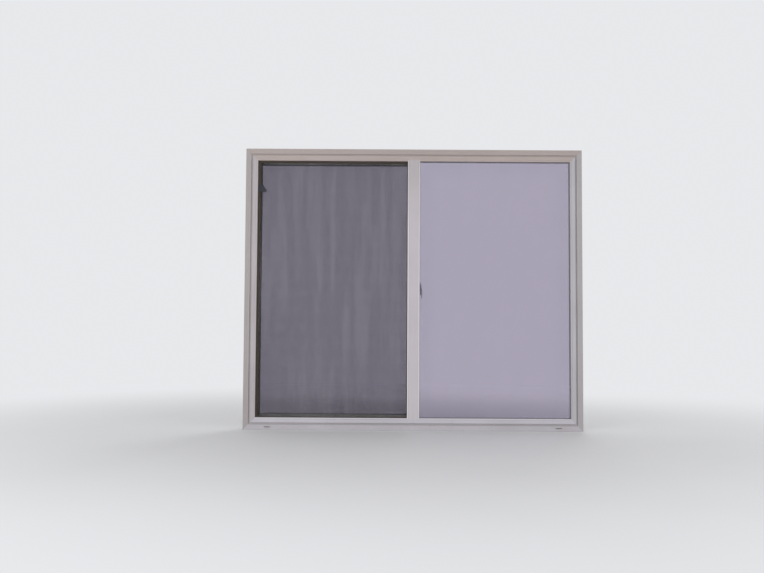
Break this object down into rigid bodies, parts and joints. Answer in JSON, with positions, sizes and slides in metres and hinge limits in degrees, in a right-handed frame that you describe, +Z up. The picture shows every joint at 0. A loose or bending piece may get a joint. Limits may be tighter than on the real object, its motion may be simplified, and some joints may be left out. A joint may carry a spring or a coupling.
{
  "type": "sliding window",
  "caption": "Light grey vinyl sliding window with a fixed lite, a sash that slides behind a dark insect screen, and its frame.",
  "frame": {"origin": "middle of the sill's underside, halfway through the frame's depth", "axes": "+X right as seen from outside, +Y into the room, +Z up"},
  "size_m": [1.816, 0.0826, 1.511],
  "materials": {
    "vinyl": "satin clay-grey extruded vinyl",
    "vinyl_moulding": "moulded vinyl, matched to the frame",
    "pane_glass": "clear float glass",
    "sealant": "black sealant",
    "spacer_metal": "mill finish",
    "gasket_rubber": "black glazing rubber",
    "block_rubber": "black setting block",
    "mill_aluminium": "mill finish extrusion",
    "steel": "zinc plated steel",
    "brush_pile": "grey pile weatherstrip",
    "grey_nylon": "moulded nylon",
    "black_nylon": "moulded nylon",
    "acetal": "turned acetal",
    "screen_paint": "dark bronze paint on roll-formed aluminium",
    "screen_mesh": "charcoal glass-fibre insect screen",
    "lock_enamel": "clay-grey enamel on die-cast zinc"
  },
  "bodies": {
    "frame": {"frame_sill": "vinyl", "frame_head": "vinyl", "frame_jamb_left": "vinyl", "frame_jamb_right": "vinyl", "meeting_stile": "vinyl", "meeting_stile_stiffener": "mill_aluminium", "meeting_stile_brush": "brush_pile", "meeting_stile_screws": "steel", "weep_covers": "vinyl_moulding", "fixed_pane_outer": "pane_glass", "fixed_pane_inner": "pane_glass", "fixed_edge_seal": "sealant", "fixed_spacer": "spacer_metal", "fixed_gasket": "gasket_rubber", "fixed_setting_blocks": "block_rubber", "fixed_bead_sill": "vinyl", "fixed_bead_head": "vinyl", "fixed_bead_jamb": "vinyl", "roller_track": "mill_aluminium", "head_guide": "mill_aluminium", "sash_stops": "grey_nylon", "anti_lift_blocks": "grey_nylon", "screen_bar_left": "screen_paint", "screen_bar_right": "screen_paint", "screen_bar_top": "screen_paint", "screen_bar_bottom": "screen_paint", "screen_spline": "gasket_rubber", "screen_cloth": "screen_mesh", "screen_corner_keys": "black_nylon", "screen_pull_tab": "black_nylon", "screen_springs": "steel", "screen_track": "vinyl", "lock_keeper": "steel", "lock_keeper_screws": "steel"},
    "sash": {"sash_rail_bottom": "vinyl", "sash_rail_top": "vinyl", "sash_stile_outer": "vinyl", "sash_stile_meeting": "vinyl", "sash_brushes": "brush_pile", "sash_pane_outer": "pane_glass", "sash_pane_inner": "pane_glass", "sash_edge_seal": "sealant", "sash_spacer": "spacer_metal", "sash_gasket": "gasket_rubber", "sash_setting_blocks": "block_rubber", "sash_bead_bottom": "vinyl", "sash_bead_top": "vinyl", "sash_bead_outer": "vinyl", "sash_bead_meeting": "vinyl", "lock_case": "lock_enamel", "lock_screws": "steel", "roller_housing_left": "black_nylon", "roller_housing_right": "black_nylon", "roller_axles": "steel"},
    "lock_handle": {"lock_lever": "lock_enamel", "lock_cam": "steel"},
    "roller_1": {"roller_wheel_1": "acetal"},
    "roller_2": {"roller_wheel_2": "acetal"},
    "roller_3": {"roller_wheel_3": "acetal"},
    "roller_4": {"roller_wheel_4": "acetal"}
  },
  "joints": [
    {"name": "sash_slide", "type": "slide", "parent": "frame", "child": "sash", "axis": [1, 0, 0], "range_m": [0, 0.79]},
    {"name": "lock_turn", "type": "hinge", "parent": "sash", "child": "lock_handle", "pos_m": [0.037, 0.01575, 0.7555], "axis": [1, 0, 0], "range_deg": [0, 180]},
    {"name": "wheel_turn_1", "type": "hinge", "parent": "sash", "child": "roller_1", "pos_m": [-0.7665, 0.02175, 0.0411], "axis": [0, 1, 0], "continuous": true},
    {"name": "wheel_turn_2", "type": "hinge", "parent": "sash", "child": "roller_2", "pos_m": [-0.7375, 0.02175, 0.0411], "axis": [0, 1, 0], "continuous": true},
    {"name": "wheel_turn_3", "type": "hinge", "parent": "sash", "child": "roller_3", "pos_m": [-0.1135, 0.02175, 0.0411], "axis": [0, 1, 0], "continuous": true},
    {"name": "wheel_turn_4", "type": "hinge", "parent": "sash", "child": "roller_4", "pos_m": [-0.0845, 0.02175, 0.0411], "axis": [0, 1, 0], "continuous": true}
  ],
  "couplings": [
    {"joint": "wheel_turn_1", "follows": "sash_slide", "rad_per_m": 90.498},
    {"joint": "wheel_turn_2", "follows": "sash_slide", "rad_per_m": 90.498},
    {"joint": "wheel_turn_3", "follows": "sash_slide", "rad_per_m": 90.498},
    {"joint": "wheel_turn_4", "follows": "sash_slide", "rad_per_m": 90.498}
  ]
}
